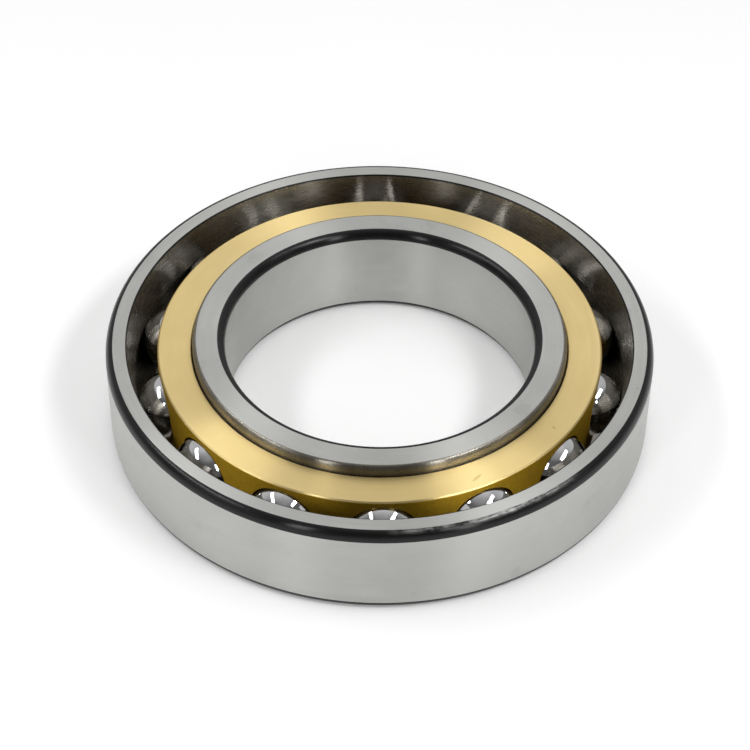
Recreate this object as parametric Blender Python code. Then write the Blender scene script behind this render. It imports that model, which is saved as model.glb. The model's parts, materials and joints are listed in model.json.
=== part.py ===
"""Single-row angular contact ball bearing: 85 mm bore, 150 mm outside, 28 mm wide.

Seventeen loose pieces: an outer ring relieved on one side, an inner ring, a one-piece brass
window cage and fourteen steel balls. The bearing lies flat with its axis on +Z. The origin is
the centre of its lower face, and the relieved side of the outer ring faces up.
Run with: blender --background --python part.py
"""

from math import acos, cos, pi, radians, sin

import bmesh
import bpy
from mathutils import Matrix

MM = 0.001

# Boundary dimensions.
BORE_R = 42.5 * MM
OUTSIDE_R = 75.0 * MM
WIDTH = 28.0 * MM
MID_Z = WIDTH / 2

# Balls, on a circle half way between bore and outside.
BALL_COUNT = 14
BALL_R = 18.256 * MM / 2
PITCH_R = (BORE_R + OUTSIDE_R) / 2
BALL_PITCH = 2 * pi / BALL_COUNT
FIRST_BALL_AZIMUTH = radians(271.3)
CONTACT_ANGLE = radians(25)

# Faceted pieces that roll on each other keep this gap.
RUNNING_GAP = 0.272 * MM
GROOVE_R = BALL_R + RUNNING_GAP

# Outer ring. Its upper side is relieved down to a low lip, its lower side is the thrust shoulder.
OUTER_CORNER_R = 2.0 * MM
OUTER_CORNER_Z = 2.85 * MM
RELIEF_R = 69.13 * MM
LIP_ANGLE = radians(21)
THRUST_SHOULDER_R = 63.4 * MM
RELIEF_EDGE = 0.4 * MM
SHOULDER_EDGE = 0.6 * MM

# Inner ring, the same above and below its groove.
BORE_CORNER_R = 2.05 * MM
BORE_CORNER_Z = 2.52 * MM
INNER_LAND_R = 51.4 * MM
LAND_CORNER_R = 1.1 * MM
LAND_CORNER_Z = 2.1 * MM

# Cage, turned from one piece of brass and bored radially for the balls.
CAGE_INNER_R = 51.78 * MM
CAGE_OUTER_R = 61.02 * MM
CAGE_END_INSET = 3.02 * MM
CAGE_OUTER_EDGE = 0.45 * MM
CAGE_INNER_EDGE = 0.25 * MM
POCKET_R = BALL_R + RUNNING_GAP
POCKET_OVERRUN = 3.0 * MM

# Facets: the cage has a whole number of facets to each pocket.
RING_FACETS = 72
CAGE_FACETS = 6 * BALL_COUNT
POCKET_FACETS = 32
BALL_SEGMENTS = 20
BALL_RINGS = 12
CORNER_STEPS = 4
GROOVE_STEPS = 9
SHARP_ANGLE = radians(32)


def clear_scene():
    for obj in list(bpy.data.objects):
        bpy.data.objects.remove(obj, do_unlink=True)


def metal(name, colour, roughness):
    """A plain metal: colour is linear RGB."""
    material = bpy.data.materials.new(name)
    material.use_nodes = True
    shader = material.node_tree.nodes["Principled BSDF"]
    shader.inputs["Base Color"].default_value = (*colour, 1.0)
    shader.inputs["Metallic"].default_value = 1.0
    shader.inputs["Roughness"].default_value = roughness
    return material


def arc(centre, radii, start, end, steps):
    """Points (r, z) along an elliptic arc, angles counted from the radial direction."""
    angles = [start + (end - start) * i / steps for i in range(steps + 1)]
    return [(centre[0] + radii[0] * cos(a), centre[1] + radii[1] * sin(a)) for a in angles]


def outer_ring_profile():
    corner = (OUTER_CORNER_R, OUTER_CORNER_Z)
    corner_r = OUTSIDE_R - OUTER_CORNER_R
    shoulder_angle = acos((THRUST_SHOULDER_R - PITCH_R) / GROOVE_R)
    upper_corner = arc((corner_r, WIDTH - OUTER_CORNER_Z), corner, 0, pi / 2, CORNER_STEPS)
    lower_corner = arc((corner_r, OUTER_CORNER_Z), corner, -pi / 2, 0, CORNER_STEPS)
    relief = [(RELIEF_R + RELIEF_EDGE, WIDTH), (RELIEF_R, WIDTH - RELIEF_EDGE)]
    groove = arc((PITCH_R, MID_Z), (GROOVE_R, GROOVE_R), LIP_ANGLE, -shoulder_angle, GROOVE_STEPS)
    shoulder = [(THRUST_SHOULDER_R, SHOULDER_EDGE), (THRUST_SHOULDER_R + SHOULDER_EDGE, 0)]
    return upper_corner + relief + groove + shoulder + lower_corner


def inner_ring_profile():
    corner = (BORE_CORNER_R, BORE_CORNER_Z)
    corner_r = BORE_R + BORE_CORNER_R
    land_angle = acos((PITCH_R - INNER_LAND_R) / GROOVE_R)
    lower_corner = arc((corner_r, BORE_CORNER_Z), corner, pi, 1.5 * pi, CORNER_STEPS)
    upper_corner = arc((corner_r, WIDTH - BORE_CORNER_Z), corner, pi / 2, pi, CORNER_STEPS)
    corner = (LAND_CORNER_R, LAND_CORNER_Z)
    corner_r = INNER_LAND_R - LAND_CORNER_R
    lower_land = arc((corner_r, LAND_CORNER_Z), corner, -pi / 2, 0, CORNER_STEPS)
    upper_land = arc((corner_r, WIDTH - LAND_CORNER_Z), corner, 0, pi / 2, CORNER_STEPS)
    start, end = pi + land_angle, pi - land_angle
    groove = arc((PITCH_R, MID_Z), (GROOVE_R, GROOVE_R), start, end, GROOVE_STEPS)
    return lower_corner + lower_land + groove + upper_land + upper_corner


def cage_profile():
    low, high = CAGE_END_INSET, WIDTH - CAGE_END_INSET
    inner, outer = CAGE_INNER_R, CAGE_OUTER_R
    return [
        (inner, low + CAGE_INNER_EDGE),
        (inner + CAGE_INNER_EDGE, low),
        (outer - CAGE_OUTER_EDGE, low),
        (outer, low + CAGE_OUTER_EDGE),
        (outer, high - CAGE_OUTER_EDGE),
        (outer - CAGE_OUTER_EDGE, high),
        (inner + CAGE_INNER_EDGE, high),
        (inner, high - CAGE_INNER_EDGE),
    ]


def new_object(name, bm, material):
    mesh = bpy.data.meshes.new(name)
    bm.to_mesh(mesh)
    bm.free()
    mesh.shade_smooth()
    mesh.set_sharp_from_angle(angle=SHARP_ANGLE)
    if material:
        mesh.materials.append(material)
    obj = bpy.data.objects.new(name, mesh)
    bpy.context.scene.collection.objects.link(obj)
    return obj


def turned_ring(name, profile, facets, material):
    """Spin a closed outline of (r, z) points once round the bearing's axis."""
    bm = bmesh.new()
    verts = [bm.verts.new((r, 0, z)) for r, z in profile]
    edges = [bm.edges.new(pair) for pair in zip(verts, verts[1:] + verts[:1])]
    bmesh.ops.spin(
        bm, geom=verts + edges, cent=(0, 0, 0), axis=(0, 0, 1), angle=2 * pi,
        steps=facets, use_merge=True, use_duplicate=False,
    )
    bmesh.ops.recalc_face_normals(bm, faces=bm.faces[:])
    return new_object(name, bm, material)


def pocket_cutter():
    """One radial cylinder for each ball, long enough to pass through the cage wall."""
    bm = bmesh.new()
    length = CAGE_OUTER_R - CAGE_INNER_R + 2 * POCKET_OVERRUN
    wall_middle = (CAGE_OUTER_R + CAGE_INNER_R) / 2
    lying = Matrix.Translation((wall_middle, 0, MID_Z)) @ Matrix.Rotation(pi / 2, 4, "Y")
    for i in range(BALL_COUNT):
        bmesh.ops.create_cone(
            bm, cap_ends=True, segments=POCKET_FACETS, radius1=POCKET_R, radius2=POCKET_R,
            depth=length, matrix=Matrix.Rotation(i * BALL_PITCH, 4, "Z") @ lying,
        )
    cutter = new_object("pocket_cutter", bm, None)
    cutter.hide_render = True
    cutter.display_type = "WIRE"
    return cutter


def window_cage(material):
    """The cage is turned to face its first pocket, and so are its cutter and the balls."""
    cage = turned_ring("cage", cage_profile(), CAGE_FACETS, material)
    cage.rotation_euler.z = FIRST_BALL_AZIMUTH
    cutter = pocket_cutter()
    cutter.parent = cage
    pockets = cage.modifiers.new("pockets", "BOOLEAN")
    pockets.operation = "DIFFERENCE"
    pockets.solver = "EXACT"
    pockets.object = cutter
    return cage


def ball(number, cage, material):
    """A ball in its pocket, its poles on the axis that it spins about, square to its contacts."""
    bm = bmesh.new()
    bmesh.ops.create_uvsphere(bm, u_segments=BALL_SEGMENTS, v_segments=BALL_RINGS, radius=BALL_R)
    obj = new_object(f"ball_{number:02d}", bm, material)
    azimuth = (number - 1) * BALL_PITCH
    obj.parent = cage
    obj.location = (PITCH_R * cos(azimuth), PITCH_R * sin(azimuth), MID_Z)
    obj.rotation_euler = (0, CONTACT_ANGLE, azimuth)
    return obj


def build():
    clear_scene()
    ring_steel = metal("ring_steel", (0.62, 0.62, 0.61), 0.3)
    ball_steel = metal("ball_steel", (0.85, 0.85, 0.86), 0.06)
    brass = metal("brass", (0.78, 0.60, 0.26), 0.35)
    turned_ring("outer_ring", outer_ring_profile(), RING_FACETS, ring_steel)
    turned_ring("inner_ring", inner_ring_profile(), RING_FACETS, ring_steel)
    cage = window_cage(brass)
    for number in range(1, BALL_COUNT + 1):
        ball(number, cage, ball_steel)


build()
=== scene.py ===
"""The looks of a single-row angular contact ball bearing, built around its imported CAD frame."""

import json
from math import acos, atan2, cos, pi, radians, sin

import bmesh
import bpy
from mathutils import Matrix, Vector


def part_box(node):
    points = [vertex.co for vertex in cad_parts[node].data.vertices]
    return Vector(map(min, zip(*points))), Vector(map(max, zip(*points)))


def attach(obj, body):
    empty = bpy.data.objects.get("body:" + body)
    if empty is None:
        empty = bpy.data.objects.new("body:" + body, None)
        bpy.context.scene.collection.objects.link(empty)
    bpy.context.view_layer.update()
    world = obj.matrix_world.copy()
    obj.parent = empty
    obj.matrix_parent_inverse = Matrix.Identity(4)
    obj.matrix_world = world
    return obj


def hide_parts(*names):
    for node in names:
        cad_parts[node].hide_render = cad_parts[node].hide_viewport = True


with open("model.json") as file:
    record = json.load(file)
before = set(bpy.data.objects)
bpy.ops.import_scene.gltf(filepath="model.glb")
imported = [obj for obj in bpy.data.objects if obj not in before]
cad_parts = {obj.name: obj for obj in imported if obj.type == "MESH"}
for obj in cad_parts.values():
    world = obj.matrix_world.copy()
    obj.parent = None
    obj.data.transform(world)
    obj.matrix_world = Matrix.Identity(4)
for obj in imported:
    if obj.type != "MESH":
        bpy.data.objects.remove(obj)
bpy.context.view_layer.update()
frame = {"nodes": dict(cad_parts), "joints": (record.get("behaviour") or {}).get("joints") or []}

MM = 0.001

# Boundary dimensions, read from the frame.
RING_LOW, RING_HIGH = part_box("outer_ring")
OUTSIDE_R = RING_HIGH.x
WIDTH = RING_HIGH.z
MID_Z = WIDTH / 2
CAGE_LOW, CAGE_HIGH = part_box("cage")
BALLS = [name for name in sorted(frame["nodes"]) if name.startswith("ball_")]
BALL_CENTRES = {j["child"]: Vector(j["pos_m"]) for j in frame["joints"] if j["child"] in BALLS}

# Inner ring, balls and grooves. The balls keep the running gap to their grooves and pockets.
BORE_R = 42.5 * MM
BALL_R = 18.256 * MM / 2
PITCH_R = (BORE_R + OUTSIDE_R) / 2
RUNNING_GAP = 0.2 * MM
GROOVE_R = BALL_R + RUNNING_GAP

# Corners, as the elliptic arcs (radial, axial) of the two rings.
OUTER_CORNER = (2.0 * MM, 2.85 * MM)
BORE_CORNER = (2.05 * MM, 2.52 * MM)
LAND_CORNER = (1.1 * MM, 2.1 * MM)

# Outer ring's inside, from the relieved side down.
RELIEF_R = 69.13 * MM
LIP_ANGLE = radians(21)
THRUST_SHOULDER_R = 63.4 * MM
RELIEF_EDGE = 0.4 * MM
SHOULDER_EDGE = 0.6 * MM
INNER_LAND_R = 51.4 * MM

# Cage.
CAGE_OUTER_R = CAGE_HIGH.x
CAGE_INNER_R = 51.78 * MM
CAGE_OUTER_EDGE = 0.45 * MM
CAGE_INNER_EDGE = 0.2 * MM
POCKET_R = BALL_R + RUNNING_GAP
POCKET_OVERRUN = 3.0 * MM

# Mesh fineness.
RING_SEGMENTS = 360
CAGE_SEGMENTS = 36 * len(BALLS)
POCKET_SEGMENTS = 96
BALL_CUTS = 24
CORNER_STEPS = 10
GROOVE_STEPS = 28
WALL_STEPS = 6
RELIEF_EDGE_STEPS = 4
SHOULDER_EDGE_STEPS = 5
SHARP = radians(28)
TOLERANCE = 0.01 * MM


# ---------------------------------------------------------------- outlines (r, z)

def arc(centre, radii, start, end, steps):
    """Points along an elliptic arc, angles counted from the radial direction."""
    angles = [start + (end - start) * i / steps for i in range(steps + 1)]
    return [(centre[0] + radii[0] * cos(a), centre[1] + radii[1] * sin(a)) for a in angles]


def corner(edge_r, edge_z, radii, side_r, side_z, start):
    """A rounded corner of a ring. side_r and side_z say which way its centre lies."""
    centre = (edge_r + side_r * radii[0], edge_z + side_z * radii[1])
    return arc(centre, radii, start, start + pi / 2, CORNER_STEPS)


def run(start, end, steps):
    """Points strictly between two ends of a straight stretch."""
    return [tuple(a + (b - a) * i / steps for a, b in zip(start, end)) for i in range(1, steps)]


def joined(*stretches):
    """One closed outline from its stretches, with straight runs between them subdivided."""
    points = []
    for this, following in zip(stretches, stretches[1:] + stretches[:1]):
        points += this + run(this[-1], following[0], WALL_STEPS)
    return points


def outer_ring_outline():
    upper = corner(OUTSIDE_R, WIDTH, OUTER_CORNER, -1, -1, 0)
    lower = corner(OUTSIDE_R, 0, OUTER_CORNER, -1, 1, -pi / 2)
    edge = (RELIEF_EDGE, RELIEF_EDGE)
    centre = (RELIEF_R + RELIEF_EDGE, WIDTH - RELIEF_EDGE)
    relief = arc(centre, edge, pi / 2, pi, RELIEF_EDGE_STEPS)
    shoulder_angle = acos((THRUST_SHOULDER_R - PITCH_R) / GROOVE_R)
    groove = arc((PITCH_R, MID_Z), (GROOVE_R, GROOVE_R), LIP_ANGLE, -shoulder_angle, GROOVE_STEPS)
    edge = (SHOULDER_EDGE, SHOULDER_EDGE)
    centre = (THRUST_SHOULDER_R + SHOULDER_EDGE, SHOULDER_EDGE)
    foot = arc(centre, edge, pi, 1.5 * pi, SHOULDER_EDGE_STEPS)
    return joined(upper, relief, groove, foot, lower)


def inner_ring_outline():
    upper = corner(BORE_R, WIDTH, BORE_CORNER, 1, -1, pi / 2)
    lower = corner(BORE_R, 0, BORE_CORNER, 1, 1, pi)
    lower_land = corner(INNER_LAND_R, 0, LAND_CORNER, -1, 1, -pi / 2)
    upper_land = corner(INNER_LAND_R, WIDTH, LAND_CORNER, -1, -1, 0)
    land_angle = acos((PITCH_R - INNER_LAND_R) / GROOVE_R)
    ends = (pi + land_angle, pi - land_angle)
    groove = arc((PITCH_R, MID_Z), (GROOVE_R, GROOVE_R), *ends, GROOVE_STEPS)
    return joined(upper, lower, lower_land, groove, upper_land)


def cage_outline():
    low, high = CAGE_LOW.z, CAGE_HIGH.z
    inner, outer = CAGE_INNER_R, CAGE_OUTER_R
    return joined(
        [(inner, low + CAGE_INNER_EDGE)],
        [(inner + CAGE_INNER_EDGE, low)],
        [(outer - CAGE_OUTER_EDGE, low)],
        [(outer, low + CAGE_OUTER_EDGE)],
        [(outer, high - CAGE_OUTER_EDGE)],
        [(outer - CAGE_OUTER_EDGE, high)],
        [(inner + CAGE_INNER_EDGE, high)],
        [(inner, high - CAGE_INNER_EDGE)],
    )


# ---------------------------------------------------------------- meshes

def new_object(name, bm, material):
    mesh = bpy.data.meshes.new(name)
    bmesh.ops.recalc_face_normals(bm, faces=bm.faces[:])
    bm.to_mesh(mesh)
    bm.free()
    mesh.shade_smooth()
    mesh.set_sharp_from_angle(angle=SHARP)
    if material:
        mesh.materials.append(material)
    obj = bpy.data.objects.new(name, mesh)
    bpy.context.scene.collection.objects.link(obj)
    return obj


def turned(name, outline, segments, material):
    """A closed outline spun once round the bearing's axis."""
    bm = bmesh.new()
    verts = [bm.verts.new((r, 0, z)) for r, z in outline]
    edges = [bm.edges.new(pair) for pair in zip(verts, verts[1:] + verts[:1])]
    bmesh.ops.spin(
        bm, geom=verts + edges, cent=(0, 0, 0), axis=(0, 0, 1), angle=2 * pi,
        steps=segments, use_merge=True, use_duplicate=False,
    )
    return new_object(name, bm, material)


def window_cage(material):
    """The brass cage: a turned ring bored radially for each ball."""
    cage = turned("cage_brass", cage_outline(), CAGE_SEGMENTS, material)
    first = BALL_CENTRES[BALLS[0]]
    cage.data.transform(Matrix.Rotation(atan2(first.y, first.x), 4, "Z"))
    bm = bmesh.new()
    middle = (CAGE_INNER_R + CAGE_OUTER_R) / 2
    for name in BALLS:
        centre = BALL_CENTRES[name]
        turn = Matrix.Rotation(atan2(centre.y, centre.x), 4, "Z")
        lying = Matrix.Translation((middle, 0, centre.z)) @ Matrix.Rotation(pi / 2, 4, "Y")
        bmesh.ops.create_cone(
            bm, cap_ends=True, segments=POCKET_SEGMENTS, radius1=POCKET_R, radius2=POCKET_R,
            depth=CAGE_OUTER_R - CAGE_INNER_R + 2 * POCKET_OVERRUN, matrix=turn @ lying,
        )
    cutter = new_object("pocket_cutter", bm, None)
    cut = cage.modifiers.new("pockets", "BOOLEAN")
    cut.operation = "DIFFERENCE"
    cut.solver = "EXACT"
    cut.object = cutter
    mesh = bpy.data.meshes.new_from_object(
        cage.evaluated_get(bpy.context.evaluated_depsgraph_get())
    )
    cage.modifiers.clear()
    cage.data = mesh
    mesh.shade_smooth()
    mesh.set_sharp_from_angle(angle=SHARP)
    bpy.data.objects.remove(cutter, do_unlink=True)
    return cage


def ball(name, material):
    """A ball as a cube cut into a fine grid and blown up to a sphere, centred in its pocket."""
    bm = bmesh.new()
    bmesh.ops.create_cube(bm, size=2)
    bmesh.ops.subdivide_edges(bm, edges=bm.edges[:], cuts=BALL_CUTS, use_grid_fill=True)
    for vert in bm.verts:
        # The tangent spreads the grid evenly over the sphere.
        spread = Vector([sin(c * pi / 4) / cos(c * pi / 4) for c in vert.co])
        vert.co = spread.normalized() * BALL_R
    obj = new_object(name + "_steel", bm, material)
    obj.location = BALL_CENTRES[name]
    return obj


# ---------------------------------------------------------------- materials

class Surface:
    """A Principled material, with short calls that add nodes to it."""

    def __init__(self, name, colour, metallic, roughness):
        self.material = bpy.data.materials.new(name)
        self.material.use_nodes = True
        self.tree = self.material.node_tree
        self.shader = self.tree.nodes["Principled BSDF"]
        self.set("Base Color", (*colour, 1))
        self.set("Metallic", metallic)
        self.set("Roughness", roughness)
        self.place = self.tree.nodes.new("ShaderNodeTexCoord").outputs["Object"]
        self.x, self.y, self.z = self.node("ShaderNodeSeparateXYZ", {0: self.place}).outputs
        self.r = self.math("SQRT", self.math("ADD", self.square(self.x), self.square(self.y)))

    def set(self, socket, value):
        self.shader.inputs[socket].default_value = value

    def link(self, source, socket):
        self.tree.links.new(source, self.shader.inputs[socket])

    def node(self, kind, inputs, **settings):
        node = self.tree.nodes.new(kind)
        for key, value in settings.items():
            setattr(node, key, value)
        for key, value in inputs.items():
            if isinstance(value, bpy.types.NodeSocket):
                self.tree.links.new(value, node.inputs[key])
            else:
                node.inputs[key].default_value = value
        return node

    def math(self, operation, a, b=0.0):
        return self.node("ShaderNodeMath", {0: a, 1: b}, operation=operation).outputs[0]

    def square(self, a):
        return self.math("MULTIPLY", a, a)

    def step(self, value, low, high, out_low=0.0, out_high=1.0):
        """A smooth step of value between low and high."""
        inputs = {0: value, 1: low, 2: high, 3: out_low, 4: out_high}
        return self.node("ShaderNodeMapRange", inputs, interpolation_type="SMOOTHSTEP").outputs[0]

    def mix(self, factor, a, b):
        """A colour between a and b, given as linear RGB or as a socket."""
        a, b = [c if isinstance(c, bpy.types.NodeSocket) else (*c, 1) for c in (a, b)]
        inputs = {0: factor, 6: a, 7: b}
        return self.node("ShaderNodeMix", inputs, data_type="RGBA").outputs[2]

    def facing(self, azimuth, low, high):
        """1 round an azimuth, falling to 0 as the cosine of the angle to it drops from high to low."""
        along = self.math("MULTIPLY", self.x, cos(azimuth))
        across = self.math("MULTIPLY", self.y, sin(azimuth))
        return self.step(self.math("DIVIDE", self.math("ADD", along, across), self.r), low, high)

    def scuff(self, x, y, angle, length, width):
        """A soft mark on a flat face, 1 at its middle: an ellipse about (x, y), turned by angle."""
        dx, dy = self.math("SUBTRACT", self.x, x), self.math("SUBTRACT", self.y, y)
        terms = []
        for size, c, d in ((length, cos(angle), sin(angle)), (width, -sin(angle), cos(angle))):
            along = self.math("ADD", self.math("MULTIPLY", dx, c), self.math("MULTIPLY", dy, d))
            terms.append(self.square(self.math("DIVIDE", along, size / 2)))
        return self.step(self.math("ADD", *terms), 0.2, 1.2, 1.0, 0.0)

    def blend(self, factor, a, b):
        """A number between a and b."""
        return self.node("ShaderNodeMix", {0: factor, 2: a, 3: b}).outputs[0]

    def noise(self, scale, detail, roughness=0.5):
        """Even noise, its scale counted per metre."""
        inputs = {"Vector": self.place, "Scale": scale, "Detail": detail, "Roughness": roughness}
        return self.node("ShaderNodeTexNoise", inputs).outputs[0]

    def rings(self, pitch, stretch, detail):
        """Noise drawn out along circles round the axis: fine across them at pitch, long along them."""
        cosine, sine = [self.math("DIVIDE", c, self.r) for c in (self.x, self.y)]
        around = [self.math("DIVIDE", c, stretch) for c in (cosine, sine)]
        across, along_axis = [self.math("DIVIDE", c, pitch) for c in (self.r, self.z)]
        vector = self.node("ShaderNodeCombineXYZ", {0: around[0], 1: around[1], 2: across}).outputs[0]
        inputs = {"Vector": vector, "W": along_axis, "Scale": 1.0, "Detail": detail}
        return self.node("ShaderNodeTexNoise", inputs, noise_dimensions="4D").outputs[0]

    def bump(self, height, distance, strength=1.0, below=None):
        inputs = {"Height": height, "Distance": distance, "Strength": strength}
        if below:
            inputs["Normal"] = below
        return self.node("ShaderNodeBump", inputs).outputs[0]

    def turned_grain(self, anisotropy):
        """Reflections drawn out across the circular tool marks, a quarter turn from the tangent."""
        self.set("Anisotropic", anisotropy)
        self.set("Anisotropic Rotation", 0.25)
        tangent = self.node("ShaderNodeTangent", {}, direction_type="RADIAL", axis="Z")
        self.link(tangent.outputs[0], "Tangent")


STEEL = (0.53, 0.533, 0.512)
STEEL_STAINED = (0.485, 0.487, 0.468)
# Painted shade for the raceway side: dark steel, browned as a painted reflection of the brass cage, in
# three depths.
RACE_PAINTED_SHADE = (0.275, 0.26, 0.225)
RACE_DEEPER_PAINTED_SHADE = (0.21, 0.195, 0.167)
RACE_DEEPEST_PAINTED_SHADE = (0.15, 0.135, 0.107)
BLACK = (0.0035, 0.0035, 0.0035)
BRASS = (0.90, 0.705, 0.335)
BRASS_DULL = (0.84, 0.65, 0.29)
BRASS_RUBBED = (0.50, 0.37, 0.15)
# Painted shade for the cage's outer wall, in the gap under the outer ring: darker, deeper brass.
BRASS_WALL_PAINTED_SHADE = (0.42, 0.262, 0.02)
BRASS_PITTED = (0.17, 0.105, 0.025)
BALL = (0.68, 0.68, 0.69)
BALL_FILM = (0.58, 0.58, 0.595)

# Noises: scale, detail and roughness.
STAINS = (38.0, 4.0, 0.6)
NICKS = (300.0, 3.0, 0.65)
SMUDGES = (95.0, 3.0, 0.7)
RAGGED_EDGE = (1300.0, 4.0, 0.75)
WORN_PATCHES = (120.0, 3.0, 0.7)
# Patches and mottle of the raceway's painted shade.
RACE_SHADE_PATCHES = (60.0, 4.0, 0.6)
RACE_SHADE_MOTTLE = (420.0, 4.0, 0.7)
BRASS_STAINS = (45.0, 4.0, 0.6)
WALL_GRAIN = (1500.0, 3.0, 0.6)
WALL_SPECKS = (1300.0, 3.0, 0.7)
WALL_SHADES = (200.0, 4.0, 0.7)
BALL_HAZE = (260.0, 3.0, 0.55)
FLOOR_CLOUDS = (9.0, 3.0)

# Tool marks: pitch across them, stretch along them and detail.
GRIND_MARKS = (0.14 * MM, 0.11, 2.0)
GRIND_BANDS = (0.55 * MM, 0.25, 4.0)
WEAR_STREAKS = (0.3 * MM, 0.03, 4.0)
HONING_LINES = (0.3 * MM, 0.05, 3.0)
TURNING_MARKS = (0.16 * MM, 0.12, 2.0)
TURNING_BANDS = (0.8 * MM, 0.3, 3.0)

# Depths of the marks.
GRIND_DEPTH = 0.003 * MM
HONING_DEPTH = 0.001 * MM
TURNING_DEPTH = 0.001 * MM
GRIT_DEPTH = 0.05 * MM

# The black's edge wanders by this much, and the walls are ground further into the lower corners.
BLACK_WANDER = 0.1 * MM
LOWER_BLACK_INSET = 0.5 * MM
BLACK_ROUGHNESS = 0.24

# Azimuth about which the black has been rubbed off the outer ring's corners.
WORN_AZIMUTH = radians(293)

# Rub marks on the cage's face: centre, direction, length and width.
CAGE_SCUFFS = (
    (25.4 * MM, -51.6 * MM, radians(50), 4.2 * MM, 1.0 * MM),
    (46.3 * MM, -33.0 * MM, radians(120), 1.6 * MM, 0.7 * MM),
)


def past(s, corner_r, side):
    """How far a point lies beyond corner_r, outwards if side is +1 and inwards if it is -1."""
    return s.math("MULTIPLY", s.math("SUBTRACT", s.r, corner_r), side)


def into_corner(s, corner_r, side, height, lower_inset=0.0):
    """How deep a point lies in a ring's corner, which starts at corner_r and at height above mid-width.

    The lower corner starts lower_inset further down than the upper one does up.
    """
    beyond = past(s, corner_r, side)
    off_middle = s.math("SUBTRACT", s.z, MID_Z)
    above = s.math("SUBTRACT", s.math("ABSOLUTE", off_middle), height)
    if lower_inset:
        below = s.math("MULTIPLY", s.math("LESS_THAN", off_middle, 0.0), lower_inset)
        above = s.math("SUBTRACT", above, below)
    return s.math("MINIMUM", beyond, above)


def ring_steel(name, side, corner_r, corner_height, edge=None, worn_azimuth=None):
    """Ground bearing steel, left black in the corners that are only turned.

    side is +1 for the outer ring and -1 for the inner ring. The black corner starts at corner_r
    and corner_height. edge is the radius and width of a black edge break. About worn_azimuth the
    grinding of the face has rubbed some of the black off its corner.
    """
    s = Surface(name, STEEL, 1.0, 0.3)
    s.set("Specular IOR Level", 0.3)
    grind = s.rings(*GRIND_MARKS)
    coarse = s.rings(*GRIND_BANDS)
    blotch = s.noise(*STAINS)
    nick = s.step(s.noise(*NICKS), 0.73, 0.79)
    smudge = s.step(s.noise(*SMUDGES), 0.62, 0.72)

    ragged = s.math("MULTIPLY", s.math("SUBTRACT", s.noise(*RAGGED_EDGE), 0.5), BLACK_WANDER)
    turned = into_corner(s, corner_r, side, corner_height, LOWER_BLACK_INSET)
    black = s.step(s.math("ADD", turned, ragged), -0.05 * MM, 0.06 * MM)
    if worn_azimuth is not None:
        patch = s.step(s.noise(*WORN_PATCHES), 0.36, 0.56)
        streak = s.step(s.rings(*WEAR_STREAKS), 0.36, 0.62, 0.15, 0.7)
        near_face = s.step(past(s, corner_r, side), 0.3 * MM, 1.5 * MM, 1.0, 0.0)
        rubbed = s.facing(worn_azimuth, 0.925, 0.98)
        for mask in (patch, streak, near_face):
            rubbed = s.math("MULTIPLY", rubbed, mask)
        black = s.math("MULTIPLY", black, s.math("SUBTRACT", 1.0, rubbed))
    if edge:
        edge_r, edge_width = edge
        broken = into_corner(s, edge_r + side * edge_width, -side, MID_Z - edge_width)
        black = s.math("MAXIMUM", black, s.step(broken, -0.02 * MM, 0.03 * MM))

    stained = s.mix(s.step(blotch, 0.35, 0.7), STEEL, STEEL_STAINED)
    lined = s.mix(s.step(coarse, 0.3, 0.75, 0.0, 0.35), stained, STEEL_STAINED)
    marks = s.math("MAXIMUM", s.math("MULTIPLY", nick, 0.35), s.math("MULTIPLY", smudge, 0.08))
    marked = s.mix(marks, lined, BLACK)
    s.link(s.mix(black, marked, BLACK), "Base Color")
    s.link(s.math("SUBTRACT", 1.0, black), "Metallic")
    rough = s.math("ADD", s.step(coarse, 0.25, 0.75, 0.31, 0.38), s.math("MULTIPLY", blotch, 0.06))
    s.link(s.blend(black, rough, BLACK_ROUGHNESS), "Roughness")
    s.link(s.bump(grind, GRIND_DEPTH, 0.5, s.bump(coarse, GRIND_DEPTH, 0.5)), "Normal")
    s.turned_grain(0.9)
    return s.material


def race_steel():
    """The raceway side of a ring, honed round the axis, its colour darkened with painted shade, browned
    as a painted reflection of the brass cage and deeper in patches.
    """
    s = Surface("race_steel", RACE_PAINTED_SHADE, 1.0, 0.32)
    lines = s.rings(*HONING_LINES)
    # Painted shade, deeper in patches and mottle.
    shade_mottle = s.step(s.noise(*RACE_SHADE_MOTTLE), 0.3, 0.8, 0.0, 0.4)
    race_shade = s.mix(s.step(s.noise(*RACE_SHADE_PATCHES), 0.35, 0.7), RACE_PAINTED_SHADE, RACE_DEEPER_PAINTED_SHADE)
    s.link(s.mix(shade_mottle, race_shade, RACE_DEEPEST_PAINTED_SHADE), "Base Color")
    s.link(s.step(lines, 0.25, 0.75, 0.25, 0.31), "Roughness")
    s.link(s.bump(lines, HONING_DEPTH, 0.4), "Normal")
    s.turned_grain(1.0)
    return s.material


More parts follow.
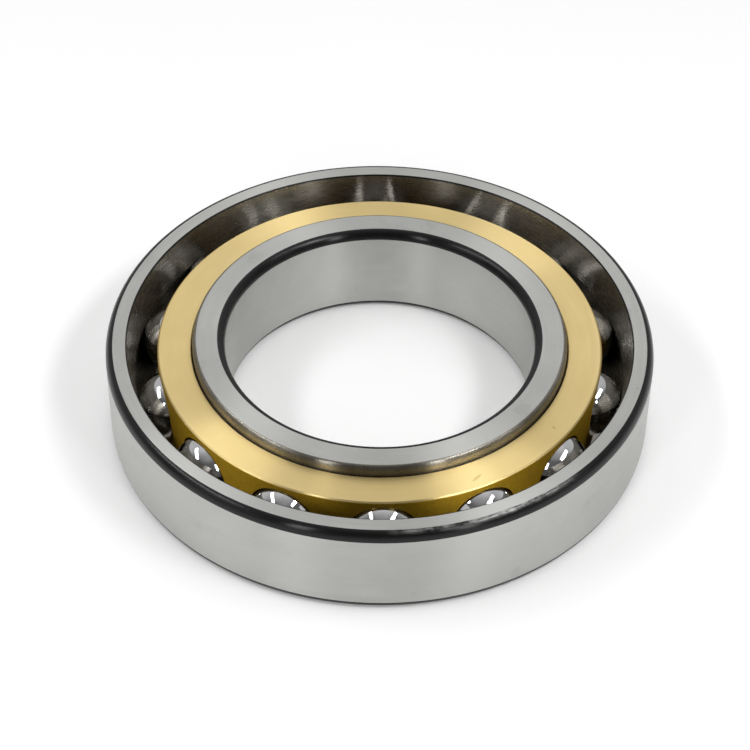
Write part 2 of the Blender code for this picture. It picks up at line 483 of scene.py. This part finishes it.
def cage_brass():
    """Turned brass: bright on its faces, duller, deeper and grainy on its outer wall, whose darker
    colour is painted shade.
    """
    s = Surface("turned_brass", BRASS, 1.0, 0.3)
    fine = s.rings(*TURNING_MARKS)
    coarse = s.rings(*TURNING_BANDS)
    grain = s.noise(*WALL_GRAIN)
    speck = s.step(s.noise(*WALL_SPECKS), 0.5, 0.68)
    wall = s.step(s.r, CAGE_OUTER_R - 0.2 * MM, CAGE_OUTER_R - 0.05 * MM)
    shaded = s.step(s.noise(*WALL_SHADES), 0.35, 0.65, 0.3, 0.6)
    tone = s.mix(s.step(s.noise(*BRASS_STAINS), 0.3, 0.75), BRASS, BRASS_DULL)
    for mark in CAGE_SCUFFS:
        tone = s.mix(s.math("MULTIPLY", s.scuff(*mark), 0.7), tone, BRASS_RUBBED)
    face = s.mix(s.step(coarse, 0.3, 0.8, 0, 0.4), tone, BRASS_DULL)
    # Real pits on brass darkened with painted shade for the outer wall.
    grainy_wall_in_painted_shade = s.mix(s.math("MULTIPLY", speck, shaded), BRASS_WALL_PAINTED_SHADE, BRASS_PITTED)
    s.link(s.mix(wall, face, grainy_wall_in_painted_shade), "Base Color")
    face_rough = s.step(coarse, 0.25, 0.75, 0.33, 0.36)
    wall_rough = s.step(grain, 0.2, 0.8, 0.50, 0.62)
    s.link(s.blend(wall, face_rough, wall_rough), "Roughness")
    grit = s.math("MULTIPLY", grain, wall)
    s.link(s.bump(fine, TURNING_DEPTH, 0.5, s.bump(grit, GRIT_DEPTH, 0.8)), "Normal")
    s.turned_grain(1.0)
    return s.material


def ball_chrome():
    s = Surface("polished_ball", BALL, 1.0, 0.05)
    film = s.noise(*BALL_HAZE)
    s.link(s.step(film, 0.3, 0.75, 0.035, 0.075), "Roughness")
    s.link(s.mix(s.step(film, 0.4, 0.8), BALL, BALL_FILM), "Base Color")
    return s.material


# ---------------------------------------------------------------- pieces

def apply_race_material(ring, material, side, race_r):
    """Give the raceway side of a ring its own material, honed steel in painted shade, up to the radius
    race_r.
    """
    ring.data.materials.append(material)
    for face in ring.data.polygons:
        if side * (race_r - face.center.to_2d().length) > -TOLERANCE:
            face.material_index = 1


def outer_ring(race):
    steel = ring_steel(
        "outer_ring_steel", 1, OUTSIDE_R - OUTER_CORNER[0], MID_Z - OUTER_CORNER[1],
        (RELIEF_R, RELIEF_EDGE), WORN_AZIMUTH,
    )
    ring = turned("outer_ring_steel", outer_ring_outline(), RING_SEGMENTS, steel)
    apply_race_material(ring, race, 1, RELIEF_R)
    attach(ring, "outer_ring")
    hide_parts("outer_ring")


def inner_ring(race):
    steel = ring_steel("inner_ring_steel", -1, BORE_R + BORE_CORNER[0], MID_Z - BORE_CORNER[1])
    ring = turned("inner_ring_steel", inner_ring_outline(), RING_SEGMENTS, steel)
    apply_race_material(ring, race, -1, INNER_LAND_R - LAND_CORNER[0])
    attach(ring, "inner_ring")
    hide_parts("inner_ring")


def cage():
    piece = window_cage(cage_brass())
    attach(piece, "cage")
    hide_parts("cage")


def balls():
    chrome = ball_chrome()
    for name in BALLS:
        piece = ball(name, chrome)
        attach(piece, name)
        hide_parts(name)


# ---------------------------------------------------------------- stage, light, camera

# Camera, in front of the bearing and above it.
ELEVATION = radians(43.56)
DISTANCE = 0.6304
AIM = Vector((-0.0012, 0, 0.0121))
ROLL = radians(0.66)
LENS = 108.57
SENSOR = 36

FLOOR_HALF = 3.0
FLOOR_DROP = 0.02 * MM
FLOOR_WHITE = (0.94, 0.94, 0.94)
FLOOR_DIM = (0.925, 0.925, 0.925)
FLOOR_GLOW = 0.12
WHITE = (1, 1, 1, 1)

# Softboxes: azimuth and elevation in degrees, distance, width and height, and radiance.
# Azimuth 0 is the camera's side, and it counts positive to the right.
LAMPS = {
    "lamp_right": (68, 56, 0.9, (0.62, 0.14), 6.0),
    "spot_right": (60, 55, 1.0, (0.22, 0.15), 14.0),
    "lamp_left": (-89, 52, 0.9, (0.60, 0.13), 8.3),
    "strip_right": (32, 28, 0.9, (0.10, 0.5), 6.5),
    "strip_left": (-28, 28, 0.9, (0.10, 0.5), 6.0),
    "fill_right": (72, 22, 0.9, (0.30, 0.45), 0.5),
    "fill_left": (-58, 24, 0.9, (0.5, 0.5), 0.5),
    "back": (180, 48, 1.0, (0.5, 0.4), 0.6),
}

# Shades of the tent: axis, where each starts and ends along it, and the strength at both.
TENT_SHADES = (
    (1, -0.3, 0.5, 0.14, 0.60),
    (2, 0.75, 0.98, 0.0, 0.25),
)


def camera():
    data = bpy.data.cameras.new("camera")
    data.lens = LENS
    data.sensor_width = SENSOR
    eye = bpy.data.objects.new("camera", data)
    bpy.context.scene.collection.objects.link(eye)
    back = Vector((0, -cos(ELEVATION), sin(ELEVATION)))
    eye.location = AIM + DISTANCE * back
    eye.matrix_world = (
        Matrix.Translation(eye.location)
        @ back.to_track_quat("Z", "Y").to_matrix().to_4x4()
        @ Matrix.Rotation(ROLL, 4, "Z")
    )
    bpy.context.scene.camera = eye


def floor():
    """A white table, lit faintly from within so that its shadows stay soft."""
    bm = bmesh.new()
    bmesh.ops.create_grid(bm, x_segments=2, y_segments=2, size=FLOOR_HALF)
    s = Surface("floor_white", FLOOR_WHITE, 0.0, 0.7)
    s.link(s.mix(s.noise(*FLOOR_CLOUDS), FLOOR_DIM, FLOOR_WHITE), "Base Color")
    s.set("Specular IOR Level", 0.1)
    s.set("Emission Color", WHITE)
    s.set("Emission Strength", FLOOR_GLOW)
    sheet = new_object("floor", bm, s.material)
    sheet.location.z = RING_LOW.z - FLOOR_DROP


def softbox(name, azimuth, elevation, distance, size, radiance):
    """A panel of even brightness aimed at the bearing."""
    data = bpy.data.lights.new(name, "AREA")
    data.shape = "RECTANGLE"
    data.size, data.size_y = size
    data.energy = pi * size[0] * size[1] * radiance
    light = bpy.data.objects.new(name, data)
    bpy.context.scene.collection.objects.link(light)
    a, e = radians(azimuth), radians(elevation)
    way = Vector((sin(a) * cos(e), -cos(a) * cos(e), sin(e)))
    light.location = distance * way
    light.rotation_euler = way.to_track_quat("Z", "Y").to_euler()


def tent():
    """A dim white tent, brighter behind the bearing and overhead, with a dark camera side."""
    world = bpy.data.worlds.new("tent")
    world.use_nodes = True
    tree = world.node_tree
    way = tree.nodes.new("ShaderNodeTexCoord").outputs["Generated"]
    axes = tree.nodes.new("ShaderNodeSeparateXYZ")
    tree.links.new(way, axes.inputs[0])
    total = tree.nodes.new("ShaderNodeMath")
    for term, (axis, *limits) in zip(total.inputs, TENT_SHADES):
        shade = tree.nodes.new("ShaderNodeMapRange")
        shade.interpolation_type = "SMOOTHSTEP"
        tree.links.new(axes.outputs[axis], shade.inputs[0])
        for i, value in enumerate(limits, start=1):
            shade.inputs[i].default_value = value
        tree.links.new(shade.outputs[0], term)
    background = tree.nodes["Background"]
    tree.links.new(total.outputs[0], background.inputs["Strength"])
    background.inputs["Color"].default_value = WHITE
    bpy.context.scene.world = world


def studio():
    tent()
    for name, lamp in LAMPS.items():
        softbox(name, *lamp)
    bpy.context.scene.view_settings.view_transform = "Standard"


race_steel_with_painted_shade = race_steel()
outer_ring(race_steel_with_painted_shade)
inner_ring(race_steel_with_painted_shade)
cage()
balls()
floor()
studio()
camera()
